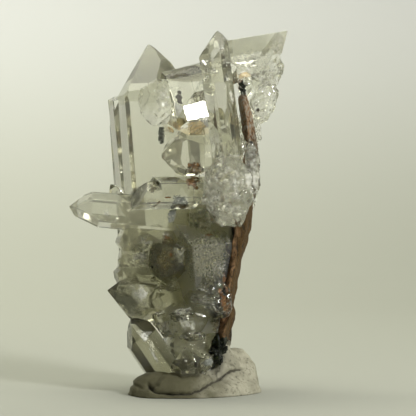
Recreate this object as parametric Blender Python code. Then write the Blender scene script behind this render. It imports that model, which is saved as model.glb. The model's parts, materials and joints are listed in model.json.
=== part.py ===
"""Smoky quartz with epidote, held upright in a lump of mounting putty.

The displayed side faces -Y and +Z is up. The origin is on the underside of the putty, under the middle
of the specimen. Lengths below are in millimetres, and the meshes are scaled to metres when they are made.
"""

import math
import random
from typing import NamedTuple

import bmesh
import bpy
from mathutils import Matrix, Vector, noise

MM = 0.001
GAP = 0.3  # between two solids that touch
RHOMB_TILT = math.radians(51.8)  # between quartz's long axis and the normal of a face of its point
FRONT = Vector((0, -1, 0))
UP = Vector((0, 0, 1))

CONTACT_FACING = (0.987, 0, -0.163)  # outward normal of the side that the rock was on
LOWEST = ((0, 0, 1.3), (0, 0, -1))  # how deep the crystals reach into the putty
TABLE_REACH = 50.0  # half the size of the block that stands for the flat surface under the putty
PUTTY_PLUMPNESS = 2.8  # 2 would be an ellipsoid, and more is squarer


class Point(NamedTuple):
    """One quartz crystal. tip and root lie on its axis, and radius is from the axis to a prism face."""

    name: str
    tip: tuple
    root: tuple
    radius: float
    spin: float = 0.0  # degrees about the axis; at 0 a prism face looks to the front
    sides: tuple = (1, 1, 1, 1, 1, 1)  # each prism face's distance from the axis, in radii
    caps: tuple = (0, 0.12, 0, 0.12, 0, 0.12)  # how far out each face of the point stands, in radii
    taper: float = 0.8  # degrees that each prism face leans in towards the tip
    steep: tuple = (0, 0, 0, 0, 0, 0)  # degrees by which each face of the point is steeper than usual
    narrow: tuple = ()  # further faces along the prism, each (degrees about the axis, distance in radii)
    breaks: tuple = ()  # further flat breaks, each (point, outward normal)


class Lump(NamedTuple):
    """A broken or rounded lump, cut flat on many sides round an ellipsoid."""

    centre: tuple
    half: tuple  # half sizes along its own axes
    seed: int
    faces: int = 18
    lean: tuple = (0, 0, 0)  # degrees about X, Y and Z
    rough: float = 0.16  # how unevenly far out its faces stand


class Spray(NamedTuple):
    """A knot of epidote with short prisms sticking out of it."""

    knot: Lump
    count: int
    length: float
    width: float


class Lobe(NamedTuple):
    """A pressed fold of putty, flat underneath."""

    centre: tuple  # X and Y
    half: tuple  # half length, half width and height
    turn: float  # degrees about Z
    detail: int = 3


CLEAR_POINTS = (
    Point("tall_point", (-11.0, 8.5, 80.5), (-6.0, 6.5, 27.0), 9.2, spin=-4,
          sides=(0.92, 1, 1, 0.9, 1, 1), caps=(-0.02, 0.06, 0.06, 0.14, 0.1, 0),
          breaks=(((-5.0, 15.0, 36.0), (0.1, 0.62, -0.78)),)),
    Point("front_spire", (3.6, -7.4, 80.5), (7.2, -6.2, 54.0), 3.35, spin=13,
          sides=(1, 1, 1, 1, 0.85, 0.85), caps=(0.33, 0.65, 0.95, 0.44, -0.05, 0.05), taper=0.0),
    Point("cross_point", (-12.9, -6.0, 63.4), (9.5, 3.6, 69.6), 7.0, spin=5,
          sides=(1, 1, 1, 1, 1, 1.145), caps=(0.08, 0.4, 0.2, 0, -0.2, 0.4), narrow=((35, 0.8),),
          breaks=(((-6.1, -4.0, 65.0), (-0.9, -0.3, -0.1)),)),
    Point("wall_point", (2.3, 14.0, 75.4), (24.0, 8.0, 78.0), 5.4, spin=35,
          breaks=(((20.9, 9.0, 83.3), (0.93, 0.15, -0.34)),)),
    Point("upper_side_point", (-7.0, -8.8, 53.8), (4.5, 1.5, 55.4), 4.2, spin=-12,
          caps=(-0.45, 0.1, 0.1, 0.2, 0.1, -0.1)),
    Point("little_side_point", (-12.7, -8.7, 46.3), (2.2, -2.9, 46.3), 2.6, spin=4,
          caps=(0.6, 0.6, 0.6, 0.6, 0.6, 0.6), breaks=(((-8.9, -7.3, 46.3), (-0.82, -0.63, -0.15)),)),
    Point("slant_point", (-18.4, -10.9, 44.8), (0.0, -3.3, 45.4), 2.6, spin=-10,
          caps=(0.6, 0.6, 0.6, 0.6, 0.6, 0.6), breaks=(((-12.6, -8.5, 45.0), (-0.78, -0.42, 0.46)),)),
    Point("finger_point", (-28.9, -3.0, 42.6), (-2.0, 1.0, 40.2), 4.2, spin=4,
          caps=(0.05, 0.15, 0.25, 0.1, 0.2, -0.1)),
    Point("bud_point", (-19.6, 2.0, 47.8), (-14.0, 3.0, 40.0), 1.5, spin=10),
    Point("rung_high", (-20.0, -2.2, 35.6), (-4.0, -0.5, 34.4), 3.4, spin=20,
          breaks=(((-17.6, -2.0, 35.0), (-1, -0.3, 0.4)), ((-17.0, -2.0, 33.0), (-0.9, -0.2, -0.6)))),
    Point("rung_middle", (-19.6, -3.0, 30.8), (-4.0, 0.0, 30.4), 2.4, spin=-10,
          breaks=(((-17.2, -3.0, 30.8), (-1, -0.2, 0.15)),)),
    Point("rung_low", (-20.4, -2.4, 27.2), (-4.0, 0.0, 26.8), 2.8, spin=5,
          breaks=(((-18.0, -2.4, 27.0), (-1, -0.3, -0.2)), ((-17.4, -2.4, 28.6), (-0.8, -0.3, 0.6)))),
    Point("stub_point", (-7.0, -11.0, 33.6), (-5.4, 3.0, 27.0), 4.0, spin=15,
          caps=(-0.2, 0.1, 0, 0.1, -0.1, 0.1)),
    Point("lower_side_point", (-19.4, -6.0, 23.4), (-4.0, 0.5, 20.8), 4.7, spin=8,
          caps=(0.3, 0.1, 0.1, 0.1, 0.05, 0)),
    Point("lower_lean_point", (-14.8, -6.0, 16.8), (-5.2, -2.0, 2.4), 3.6, spin=-20,
          caps=(0.1, 0, 0.3, 0.2, 0.3, -0.1), breaks=(LOWEST,)),
    Point("foot_point", (-2.2, -12.0, 11.4), (-1.2, -7.0, 1.4), 3.1, spin=10, breaks=(LOWEST,)),
)
SMOKY_POINTS = (
    Point("smoky_heart", (0.4, 2.0, 46.9), (3.2, 2.6, 14.0), 8.2, spin=17,
          caps=(-0.17, 0.1, 0.1, 0.1, 0.1, 0.3), breaks=(((9.8, 0, 41.4), CONTACT_FACING),)),
)
BACK_POINTS = (
    Point("back_blade", (3.0, 21.0, 63.0), (3.0, 6.0, 33.0), 4.6, spin=30),
    Point("back_finger", (-14.0, 19.0, 34.0), (-1.0, 6.0, 34.0), 3.6, spin=12),
    Point("back_side_point", (-13.0, 17.0, 27.0), (0.0, 4.0, 24.0), 4.2, spin=-8),
    Point("back_out_point", (3.0, 21.0, 36.0), (2.0, 4.0, 32.0), 4.0, spin=18),
    Point("back_low_point", (-6.0, 14.0, 12.0), (1.0, 2.0, 14.0), 3.4, spin=4),
    Point("back_high_point", (8.0, 20.0, 55.0), (5.0, 5.0, 47.0), 3.8, spin=35),
)
QUARTZ_LUMPS = (
    # The etched knob, the small lump above it, and the frosted end of the crossing crystal
    Lump((7.7, -7.5, 46.4), (6.1, 5.5, 8.6), seed=3, faces=44, rough=0.07),
    Lump((8.6, -4.5, 55.5), (2.8, 3.0, 3.4), seed=8, faces=18),
    Lump((-8.2, -3.4, 66.6), (4.3, 4.4, 5.8), seed=9, faces=24, lean=(0, 14, 0), rough=0.12),
    # Rough ends on the left
    Lump((-14.6, -2.0, 34.6), (3.3, 3.4, 2.7), seed=61, faces=20, rough=0.18),
    Lump((-13.8, -2.6, 30.2), (4.0, 3.6, 2.9), seed=62, faces=20, rough=0.18),
    Lump((-14.6, -2.2, 26.6), (3.2, 3.2, 2.4), seed=63, faces=20, rough=0.18),
    # What the crystals grow from
    Lump((3.0, 4.0, 57.0), (8.0, 6.5, 12.0), seed=11),
    Lump((0.5, 9.5, 40.0), (8.5, 6.5, 12.0), seed=12),
    Lump((1.0, 4.5, 24.0), (8.5, 7.5, 12.0), seed=13),
    Lump((0.5, 1.5, 11.0), (7.5, 6.5, 9.0), seed=14),
    Lump((4.8, 8.5, 38.0), (5.4, 6.5, 8.5), seed=41),
    Lump((3.6, 3.0, 29.0), (5.2, 6.5, 7.5), seed=42),
    Lump((3.0, 2.0, 20.0), (5.2, 6.0, 7.0), seed=43),
    Lump((-6.0, 9.5, 20.0), (7.0, 5.5, 8.0), seed=45, faces=24),
    Lump((1.0, 9.0, 15.0), (6.5, 5.5, 7.5), seed=46, faces=24),
    Lump((3.0, 12.0, 44.0), (6.0, 5.0, 10.0), seed=47, faces=24),
    # Broken masses at the lower front
    Lump((3.4, -5.6, 22.0), (6.0, 4.6, 5.4), seed=15, faces=30, rough=0.1),
    Lump((-3.0, -6.0, 16.6), (6.2, 4.2, 4.4), seed=16, faces=26),
    Lump((-1.0, -6.0, 11.0), (5.0, 4.4, 5.0), seed=17, faces=24),
    Lump((1.6, -8.6, 7.6), (2.6, 2.4, 3.0), seed=18, faces=18),
    # The broken wall on the right
    Lump((10.5, 7.0, 69.0), (6.0, 4.6, 8.5), seed=20, faces=22),
    Lump((17.2, 8.5, 75.2), (4.3, 5.0, 5.6), seed=21, faces=26, rough=0.2),
    Lump((15.2, 8.8, 67.6), (4.3, 5.4, 7.2), seed=22, faces=34, lean=(0, 20, 0), rough=0.2),
    Lump((9.0, 7.0, 56.0), (5.0, 5.4, 9.0), seed=44, faces=22),
    Lump((12.4, 8.3, 58.6), (3.9, 6.2, 7.6), seed=24, faces=34, lean=(0, 8, 0), rough=0.2),
    Lump((11.8, 7.9, 47.6), (3.9, 6.2, 8.4), seed=25, faces=34, lean=(0, 4, 0), rough=0.2),
)
MATRIX_PLATES = (
    Lump((12.0, -1.3, 60.6), (2.4, 4.8, 11.0), seed=32, faces=34, lean=(0, -5, 4)),
    Lump((12.8, 0.0, 50.0), (2.0, 5.4, 7.6), seed=33, faces=28, lean=(0, 2, 4)),
    Lump((10.3, 2.2, 37.4), (2.7, 8.8, 11.0), seed=35, faces=44, lean=(0, 12, 0), rough=0.1),
    Lump((7.4, 2.0, 24.0), (2.7, 8.8, 12.5), seed=36, faces=44, lean=(0, 12, -2), rough=0.1),
    Lump((6.4, 0.8, 13.2), (2.1, 6.8, 7.6), seed=38, faces=30, lean=(0, 10, -6)),
)
EPIDOTE_SPRAYS = {
    "epidote_lower": Spray(
        Lump((5.0, -5.2, 11.2), (3.2, 3.8, 6.0), seed=51, faces=26, lean=(0, 10, 0)),
        count=18, length=4.4, width=1.5),
    "epidote_upper": Spray(
        Lump((9.4, -3.4, 71.0), (1.5, 2.0, 3.4), seed=52, lean=(0, -10, 0)),
        count=9, length=3.6, width=0.8),
}
PUTTY_LOBES = (
    Lobe((-0.1, -1.6), (16.2, 12.0, 4.4), turn=27, detail=4),
    Lobe((8.2, 4.0), (6.8, 9.0, 10.4), turn=-20),
    Lobe((-7.6, -5.8), (7.4, 5.4, 5.6), turn=18),
    Lobe((4.6, 0.5), (9.6, 7.0, 6.6), turn=38),
)


def frame_along(axis, facing=FRONT):
    """Two directions square to the axis, the first of them as near to facing as can be."""
    if abs(axis.dot(facing)) > 0.9:
        facing = UP
    ahead = (facing - axis * axis.dot(facing)).normalized()
    return ahead, axis.cross(ahead)


def cut_flat(bm, point, normal):
    """Cuts off what lies past a plane and closes the cut."""
    whole = bm.verts[:] + bm.edges[:] + bm.faces[:]
    cut = bmesh.ops.bisect_plane(
        bm, geom=whole, dist=1e-5, plane_co=point, plane_no=normal, clear_outer=True)
    rim = [e for e in cut["geom_cut"] if isinstance(e, bmesh.types.BMEdge)]
    if rim:
        bmesh.ops.contextual_create(bm, geom=rim)


def cut_block(centre, reach, planes, grow=0.0):
    """The convex solid that the planes leave of a cube, with each plane moved out by grow."""
    bm = bmesh.new()
    bmesh.ops.create_cube(bm, size=2 * reach, matrix=Matrix.Translation(centre))
    for point, normal in planes:
        normal = Vector(normal).normalized()
        cut_flat(bm, Vector(point) + normal * grow, normal)
    bmesh.ops.recalc_face_normals(bm, faces=bm.faces)
    return bm


def quartz_point(point, grow=0.0):
    """A six-sided prism with a six-faced point at its tip."""
    tip, root = Vector(point.tip), Vector(point.root)
    axis = (tip - root).normalized()
    ahead, aside = frame_along(axis)
    planes = [(root, -axis)]
    for side in range(6):
        turn = math.radians(point.spin + 60 * side)
        out = ahead * math.cos(turn) + aside * math.sin(turn)
        lean = math.radians(point.taper)
        face = out * math.cos(lean) + axis * math.sin(lean)
        planes.append((tip + out * point.radius * point.sides[side], face))
        tilt = RHOMB_TILT + math.radians(point.steep[side])
        cap = out * math.sin(tilt) + axis * math.cos(tilt)
        planes.append((tip + cap * point.radius * point.caps[side], cap))
    for angle, reach in point.narrow:
        turn = math.radians(angle)
        out = ahead * math.cos(turn) + aside * math.sin(turn)
        planes.append((tip + out * point.radius * reach, out))
    planes.extend(point.breaks)
    middle = (tip + root) / 2
    reach = (tip - root).length + 3 * point.radius
    return cut_block(middle, reach, planes, grow)


def even_directions(count, jitter, rng):
    """Directions spread evenly over a sphere, each moved a little."""
    golden = math.pi * (3 - math.sqrt(5))
    found = []
    for i in range(count):
        z = 1 - 2 * (i + 0.5) / count
        ring = math.sqrt(1 - z * z)
        way = Vector((ring * math.cos(golden * i), ring * math.sin(golden * i), z))
        found.append((way + jitter * Vector([rng.uniform(-1, 1) for _ in range(3)])).normalized())
    return found


def rock_lump(lump, grow=0.0):
    """A convex lump with flat breaks on all sides."""
    rng = random.Random(lump.seed)
    half = Vector(lump.half)
    turned = Matrix.Rotation(math.radians(lump.lean[2]), 3, "Z")
    turned = turned @ Matrix.Rotation(math.radians(lump.lean[1]), 3, "Y")
    turned = turned @ Matrix.Rotation(math.radians(lump.lean[0]), 3, "X")
    planes = []
    for way in even_directions(lump.faces, 0.25, rng):
        out = 1 - rng.uniform(0, lump.rough)
        touch = Vector([w * h * out for w, h in zip(way, half)])
        normal = Vector([w / h for w, h in zip(way, half)])
        planes.append((Vector(lump.centre) + turned @ touch, turned @ normal))
    return cut_block(Vector(lump.centre), 2.5 * max(half), planes, grow)


def epidote_prism(base, way, length, width, grow=0.0):
    """A short prism, wider than it is thick, with a chisel end."""
    broad, narrow = frame_along(way)
    planes = [(base, -way)]
    for angle, reach in ((0, 0.62), (52, 0.8), (128, 0.8)):
        turn = math.radians(angle)
        out = narrow * math.sin(turn) + broad * math.cos(turn)
        planes += [(base + out * width * reach, out), (base - out * width * reach, -out)]
    end = base + way * length
    planes += [(end, way + narrow * 0.8), (end + narrow * 0.2 * width, way - narrow * 0.5)]
    return cut_block(base + way * length / 2, 2 * length, planes, grow)


def epidote_solids(spray, grow=0.0):
    """The knot and its prisms."""
    knot = spray.knot
    rng = random.Random(knot.seed)
    solids = [rock_lump(knot, grow)]
    for way in even_directions(spray.count, 0.3, rng):
        start = Vector([c + w * h * 0.35 for c, w, h in zip(knot.centre, way, knot.half)])
        length = spray.length * rng.uniform(0.7, 1.0)
        width = spray.width * rng.uniform(0.7, 1.1)
        solids.append(epidote_prism(start, way, length, width, grow))
    return solids


def putty_lobe(lobe):
    """A plump fold, squarer than an ellipsoid, half of it above Z = 0."""
    bm = bmesh.new()
    bmesh.ops.create_icosphere(bm, subdivisions=lobe.detail, radius=1)
    turned = Matrix.Rotation(math.radians(lobe.turn), 3, "Z")
    power = PUTTY_PLUMPNESS
    for vert in bm.verts:
        ring = math.hypot(vert.co.x, vert.co.y)
        plump = (ring**power + abs(vert.co.z) ** power) ** (-1 / power)
        lumpy = 1 + 0.05 * noise.noise(vert.co * 2.3 + Vector((*lobe.centre, 0)))
        shaped = Vector([c * h * plump * lumpy for c, h in zip(vert.co, lobe.half)])
        vert.co = turned @ shaped + Vector((*lobe.centre, 0))
    return bm


def helper_object(name, bm):
    """A hidden object that a Boolean reads. Its mesh is in metres."""
    bm.transform(Matrix.Scale(MM, 4))
    mesh = bpy.data.meshes.new(name)
    bm.to_mesh(mesh)
    bm.free()
    helper = bpy.data.objects.new(name, mesh)
    helper.hide_render = True
    helper.display_type = "WIRE"
    return helper


def combined(first, others, operation):
    """The mesh that a Boolean leaves of the first solid and all the others. They are used up."""
    scene = bpy.context.scene
    group = bpy.data.collections.new("operands")
    scene.collection.children.link(group)
    base = helper_object("base", first)
    scene.collection.objects.link(base)
    for i, bm in enumerate(others):
        group.objects.link(helper_object(f"operand_{i}", bm))
    boolean = base.modifiers.new("Boolean", "BOOLEAN")
    boolean.operation = operation
    boolean.operand_type = "COLLECTION"
    boolean.collection = group
    boolean.solver = "EXACT"
    graph = bpy.context.evaluated_depsgraph_get()
    mesh = bpy.data.meshes.new_from_object(base.evaluated_get(graph))
    for helper in [base, *group.objects]:
        bpy.data.objects.remove(helper)
    bpy.data.collections.remove(group)
    result = bmesh.new()
    result.from_mesh(mesh)
    bpy.data.meshes.remove(mesh)
    result.transform(Matrix.Scale(1 / MM, 4))
    return result


def largest_body(bm):
    """The same mesh without the crumbs that a cut has left beside its main body."""
    unseen = set(bm.verts)
    bodies = []
    while unseen:
        body, edge_of_it = set(), [unseen.pop()]
        while edge_of_it:
            vert = edge_of_it.pop()
            body.add(vert)
            for edge in vert.link_edges:
                other = edge.other_vert(vert)
                if other in unseen:
                    unseen.remove(other)
                    edge_of_it.append(other)
        bodies.append(body)
    bodies.sort(key=len)
    crumbs = [vert for body in bodies[:-1] for vert in body]
    bmesh.ops.delete(bm, geom=crumbs, context="VERTS")
    return bm


def clean_mesh(bm):
    """Joins doubled corners and removes edges and faces with no size."""
    bmesh.ops.remove_doubles(bm, verts=bm.verts, dist=2e-3)
    bmesh.ops.dissolve_degenerate(bm, dist=1e-3, edges=bm.edges)
    return bm


def put_in_scene(name, bm, material):
    bm.transform(Matrix.Scale(MM, 4))
    mesh = bpy.data.meshes.new(name)
    bm.to_mesh(mesh)
    bm.free()
    mesh.materials.append(material)
    obj = bpy.data.objects.new(name, mesh)
    bpy.context.scene.collection.objects.link(obj)
    return obj


def plain_material(name, colour, roughness, transmission=0.0):
    material = bpy.data.materials.new(name)
    material.use_nodes = True
    shader = material.node_tree.nodes["Principled BSDF"]
    shader.inputs["Base Color"].default_value = (*colour, 1)
    shader.inputs["Roughness"].default_value = roughness
    shader.inputs["Metallic"].default_value = 0.0
    shader.inputs["Transmission Weight"].default_value = transmission
    return material


def quartz_solids(grow=0.0):
    points = CLEAR_POINTS + SMOKY_POINTS + BACK_POINTS
    return [quartz_point(p, grow) for p in points] + [rock_lump(q, grow) for q in QUARTZ_LUMPS]


def united(solids):
    first, *rest = solids
    return combined(first, rest, "UNION")


def all_epidote(grow=0.0):
    return [solid for spray in EPIDOTE_SPRAYS.values() for solid in epidote_solids(spray, grow)]


def main():
    for obj in list(bpy.data.objects):
        bpy.data.objects.remove(obj)
    clear = plain_material("quartz", (0.86, 0.86, 0.78), 0.05, transmission=1.0)
    rust = plain_material("weathered_matrix", (0.24, 0.13, 0.08), 0.9)
    green = plain_material("epidote", (0.03, 0.05, 0.02), 0.25)
    beige = plain_material("putty", (0.5, 0.47, 0.4), 0.85)

    put_in_scene("quartz_cluster", clean_mesh(united(quartz_solids())), clear)

    for name, spray in EPIDOTE_SPRAYS.items():
        knot = combined(united(epidote_solids(spray)), quartz_solids(GAP), "DIFFERENCE")
        put_in_scene(name, clean_mesh(largest_body(knot)), green)

    crust = united([rock_lump(plate) for plate in MATRIX_PLATES])
    crust = combined(crust, quartz_solids(GAP) + all_epidote(GAP), "DIFFERENCE")
    put_in_scene("matrix_crust", clean_mesh(largest_body(crust)), rust)

    putty = united([putty_lobe(lobe) for lobe in PUTTY_LOBES])
    pressing = [rock_lump(plate, GAP) for plate in MATRIX_PLATES]
    pressing.append(cut_block(Vector((0, 0, 0)), TABLE_REACH, [((0, 0, 0), UP)]))
    putty = combined(putty, quartz_solids(GAP) + all_epidote(GAP) + pressing, "DIFFERENCE")
    put_in_scene("putty_base", clean_mesh(largest_body(putty)), beige)


if __name__ == "__main__":
    main()
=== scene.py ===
import json
import math
import random

import bmesh
import bpy
from mathutils import Matrix, Vector, noise
from mathutils.bvhtree import BVHTree

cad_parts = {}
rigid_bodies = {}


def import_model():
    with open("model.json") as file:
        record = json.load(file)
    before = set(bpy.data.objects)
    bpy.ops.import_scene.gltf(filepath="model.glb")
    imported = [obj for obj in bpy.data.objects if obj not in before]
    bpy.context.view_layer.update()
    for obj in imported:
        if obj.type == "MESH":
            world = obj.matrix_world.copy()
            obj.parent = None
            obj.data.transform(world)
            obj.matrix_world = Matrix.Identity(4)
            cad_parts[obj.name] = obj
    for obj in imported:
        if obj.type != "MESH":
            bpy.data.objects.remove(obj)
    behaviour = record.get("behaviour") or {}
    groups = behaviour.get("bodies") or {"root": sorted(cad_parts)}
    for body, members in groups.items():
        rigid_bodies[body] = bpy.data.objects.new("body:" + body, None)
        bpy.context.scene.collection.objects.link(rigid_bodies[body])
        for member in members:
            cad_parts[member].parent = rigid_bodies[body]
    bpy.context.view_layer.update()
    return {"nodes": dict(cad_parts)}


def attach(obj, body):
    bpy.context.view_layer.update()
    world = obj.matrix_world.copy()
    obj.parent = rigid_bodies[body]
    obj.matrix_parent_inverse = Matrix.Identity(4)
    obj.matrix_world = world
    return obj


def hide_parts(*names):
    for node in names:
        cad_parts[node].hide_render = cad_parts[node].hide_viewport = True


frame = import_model()

mm = 0.001  # the tables are in millimetres, and the finished meshes in metres
wornFinish = (0.06, 0.4)  # how dull and how pitted a worn edge is
toFront = Vector((0, -1, 0))
toTop = Vector((0, 0, 1))
rhombTilt = 51.8  # degrees between quartz's long axis and the normal of a face of its point
quartzBend = 1.544  # quartz's index of refraction


def placed(name, data):
    holder = bpy.data.objects.new(name, data)
    bpy.context.scene.collection.objects.link(holder)
    return holder


# Camera: level, and as high as the middle of the specimen

cameraSettings = {
    "place": (2.99, -388.7, 42.32),
    "sensor": 36.0,
    "lens": 146.25,
}


def makeCamera(settings):
    camera = bpy.data.cameras.new("camera")
    camera.sensor_width = settings["sensor"]
    camera.lens = settings["lens"]
    camera.clip_start = 0.01
    camera.clip_end = 20
    holder = placed("camera", camera)
    holder.location = Vector(settings["place"]) * mm
    holder.rotation_euler = (math.radians(90), 0, 0)
    bpy.context.scene.camera = holder


makeCamera(cameraSettings)


# Mesh helpers

def turnedBy(degrees):
    x, y, z = (math.radians(d) for d in degrees)
    return Matrix.Rotation(z, 3, "Z") @ Matrix.Rotation(y, 3, "Y") @ Matrix.Rotation(x, 3, "X")


def frameAlong(axis, facing=toFront):
    # two directions square to the axis, the first as near to facing as can be
    if abs(axis.dot(facing)) > 0.9:
        facing = toTop
    ahead = (facing - axis * axis.dot(facing)).normalized()
    return ahead, axis.cross(ahead)


def cutFlat(bm, point, normal):
    # takes off what lies past a plane, and closes the cut
    whole = bm.verts[:] + bm.edges[:] + bm.faces[:]
    cut = bmesh.ops.bisect_plane(
        bm, geom=whole, dist=1e-5, plane_co=point, plane_no=normal, clear_outer=True)
    rim = [e for e in cut["geom_cut"] if isinstance(e, bmesh.types.BMEdge)]
    if rim:
        bmesh.ops.contextual_create(bm, geom=rim)


def cutBlock(centre, reach, planes):
    # what the planes leave of a cube
    bm = bmesh.new()
    bmesh.ops.create_cube(bm, size=2 * reach, matrix=Matrix.Translation(centre))
    for point, normal in planes:
        cutFlat(bm, Vector(point), Vector(normal).normalized())
    bmesh.ops.recalc_face_normals(bm, faces=bm.faces)
    return bm


def wearEdges(bm, width):
    # rounds every edge a little, and says which faces the wear has made
    bmesh.ops.remove_doubles(bm, verts=bm.verts, dist=1.5 * width)
    worn = bmesh.ops.bevel(
        bm, geom=bm.edges[:], affect="EDGES", offset=width, offset_type="OFFSET",
        segments=2, profile=0.5, material=-1, clamp_overlap=True)
    return set(worn["faces"])


def turnedFrame(axis, turn, facing=toFront):
    spun = Matrix.Rotation(turn, 3, axis)
    return [spun @ way for way in frameAlong(axis, facing)]


def around(ahead, aside, degrees):
    turn = math.radians(degrees)
    return ahead * math.cos(turn) + aside * math.sin(turn)


def anywhere(rng, reach):
    return Vector([rng.uniform(-reach, reach) for _ in range(3)])


def evenDirections(count, jitter, rng):
    golden = math.pi * (3 - math.sqrt(5))
    found = []
    for i in range(count):
        z = 1 - 2 * (i + 0.5) / count
        ring = math.sqrt(1 - z * z)
        way = Vector((ring * math.cos(golden * i), ring * math.sin(golden * i), z))
        found.append((way + jitter * anywhere(rng, 1)).normalized())
    return found


def markFaces(bm, along, dull=0.0, pits=0.0, wornFaces=()):
    # growth: place along and across the crystal; finish: how dull and how pitted the surface is
    growth = bm.loops.layers.uv.new("growth")
    finish = bm.loops.layers.uv.new("finish")
    for face in bm.faces:
        across = along.cross(face.normal)
        across = across.normalized() if across.length > 1e-3 else frameAlong(along)[0]
        look = wornFinish if face in wornFaces else (dull, pits)
        for loop in face.loops:
            loop[growth].uv = (loop.vert.co.dot(along), loop.vert.co.dot(across))
            loop[finish].uv = look


def fromBm(name, bm):
    # a mesh in metres, from a bmesh in millimetres that is used up
    bm.transform(Matrix.Scale(mm, 4))
    mesh = bpy.data.meshes.new(name)
    bm.to_mesh(mesh)
    bm.free()
    return mesh


def toBm(mesh):
    bm = bmesh.new()
    bm.from_mesh(mesh)
    bm.transform(Matrix.Scale(1 / mm, 4))
    return bm


def asEvaluated(holder):
    graph = bpy.context.evaluated_depsgraph_get()
    return bpy.data.meshes.new_from_object(holder.evaluated_get(graph))


def combined(solids, operation="UNION"):
    # one mesh, in metres, from the first solid and all the others, which are used up
    group = bpy.data.collections.new("operands")
    bpy.context.scene.collection.children.link(group)
    base = placed("base", fromBm("base", solids[0]))
    for i, bm in enumerate(solids[1:]):
        group.objects.link(bpy.data.objects.new(f"operand_{i}", fromBm("operand", bm)))
    boolean = base.modifiers.new("Boolean", "BOOLEAN")
    boolean.operation = operation
    boolean.operand_type = "COLLECTION"
    boolean.collection = group
    boolean.solver = "MANIFOLD"
    mesh = asEvaluated(base)
    for helper in [base, *group.objects]:
        data = helper.data
        bpy.data.objects.remove(helper)
        bpy.data.meshes.remove(data)
    bpy.data.collections.remove(group)
    return mesh


def tidied(mesh, nearest=0.002):
    # joins doubled corners and takes out edges with no length
    bm = bmesh.new()
    bm.from_mesh(mesh)
    bmesh.ops.remove_doubles(bm, verts=bm.verts, dist=nearest * mm)
    bmesh.ops.dissolve_degenerate(bm, dist=nearest * mm / 2, edges=bm.edges)
    bm.to_mesh(mesh)
    bm.free()
    return mesh


def inScene(name, mesh, material, smoothBelow=None):
    mesh.materials.clear()
    mesh.materials.append(material)
    if smoothBelow is not None:
        mesh.shade_smooth()
        mesh.set_sharp_from_angle(angle=math.radians(smoothBelow))
    piece = placed(name, mesh)
    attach(piece, "root")
    return piece


def flatWhereClean(mesh):
    # a crystal's own faces stay dead flat, and mirror one direction each
    finish = mesh.uv_layers["finish"].data
    for face in mesh.polygons:
        if finish[face.loop_start].uv.y < 0.1:
            face.use_smooth = False


# Material helpers

def feed(tree, node, inputs):
    for name, value in inputs.items():
        if isinstance(value, bpy.types.NodeSocket):
            tree.links.new(value, node.inputs[name])
        else:
            node.inputs[name].default_value = value


def addNode(tree, kind, inputs, **fields):
    made = tree.nodes.new(kind)
    for name, value in fields.items():
        setattr(made, name, value)
    feed(tree, made, inputs)
    return made


def newMaterial(name):
    material = bpy.data.materials.new(name)
    material.use_nodes = True
    tree = material.node_tree
    shader = tree.nodes["Principled BSDF"]
    return material, tree, shader


def placeIn(tree):
    # Object coordinates, in millimetres
    coords = addNode(tree, "ShaderNodeTexCoord", {})
    return addNode(tree, "ShaderNodeVectorMath", {0: coords.outputs["Object"], "Scale": 1 / mm},
                   operation="SCALE").outputs[0]


def stretched(tree, place, scale):
    return addNode(tree, "ShaderNodeMapping", {"Vector": place, "Scale": scale}).outputs[0]


def noiseOf(tree, place, scale, detail=3.0, rough=0.5, warp=0.0):
    return addNode(tree, "ShaderNodeTexNoise", {
        "Vector": place, "Scale": scale, "Detail": detail, "Roughness": rough,
        "Distortion": warp}).outputs[0]


def mathOf(tree, operation, first, second=0.0):
    return addNode(tree, "ShaderNodeMath", {0: first, 1: second}, operation=operation).outputs[0]


def product(tree, first, second):
    return mathOf(tree, "MULTIPLY", first, second)


def uvOf(tree, name):
    return addNode(tree, "ShaderNodeUVMap", {}, uv_map=name).outputs[0]


def partsOf(tree, vector):
    return addNode(tree, "ShaderNodeSeparateXYZ", {0: vector}).outputs


def rangeOf(tree, value, low, high, toLow=0.0, toHigh=1.0):
    return addNode(tree, "ShaderNodeMapRange", {
        "Value": value, "From Min": low, "From Max": high, "To Min": toLow, "To Max": toHigh},
        interpolation_type="SMOOTHSTEP").outputs[0]


def mixColour(tree, share, first, second):
    first, second = ((*c, 1) if isinstance(c, tuple) else c for c in (first, second))
    return addNode(tree, "ShaderNodeMix", {0: share, 6: first, 7: second}, data_type="RGBA").outputs[2]


def rampOf(tree, value, stops):
    ramp = addNode(tree, "ShaderNodeValToRGB", {0: value})
    elements = ramp.color_ramp.elements
    while len(elements) < len(stops):
        elements.new(0.5)
    for element, (at, colour) in zip(elements, stops):
        element.position = at
        element.color = (*colour, 1)
    return ramp.outputs[0]


def bumpOf(tree, shader, height, depth):
    # depth is in millimetres
    bump = addNode(tree, "ShaderNodeBump", {"Height": height, "Strength": 1.0, "Distance": depth * mm})
    feed(tree, shader, {"Normal": bump.outputs[0]})


# Quartz: every crystal and broken lump that has grown together, one solid

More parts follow.
